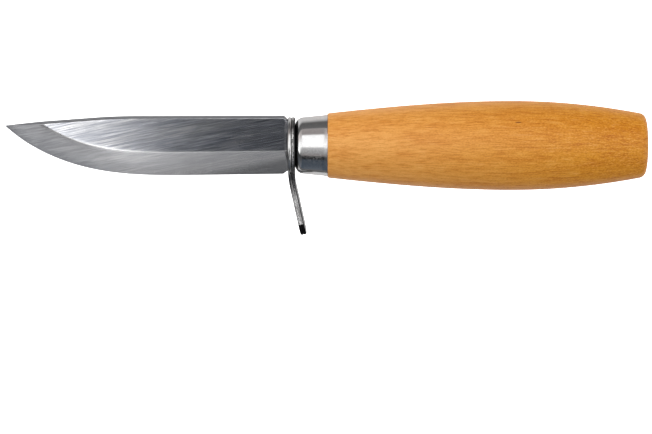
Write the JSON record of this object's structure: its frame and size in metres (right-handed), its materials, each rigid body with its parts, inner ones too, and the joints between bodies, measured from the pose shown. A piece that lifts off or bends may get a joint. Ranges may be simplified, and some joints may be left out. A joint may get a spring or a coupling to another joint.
{
  "type": "wood-carving knife",
  "caption": "Straight wood-carving knife with a wide flat-ground bevel, a bent finger guard, a steel ferrule and a barrel-shaped turned birch handle.",
  "frame": {"origin": "on the handle's axis, where it meets the finger guard's front face", "axes": "+X along the handle towards the butt, with the tip towards -X; +Y towards the spine, with the edge and the guard's tongue towards -Y; +Z out of the blade's upper flat"},
  "size_m": [0.1863, 0.0409, 0.026],
  "materials": {
    "blade_steel": "ground satin, with fine slanting scratches",
    "guard_steel": "stamped plate, tumbled faces and a sheared rim",
    "ferrule_steel": "polished",
    "birch": "honey-stained, satin lacquer",
    "epoxy": "set glue"
  },
  "bodies": {
    "root": {"blade": "blade_steel", "finger_guard": "guard_steel", "ferrule": "ferrule_steel", "handle": "birch", "tang_adhesive": "epoxy"}
  },
  "joints": []
}
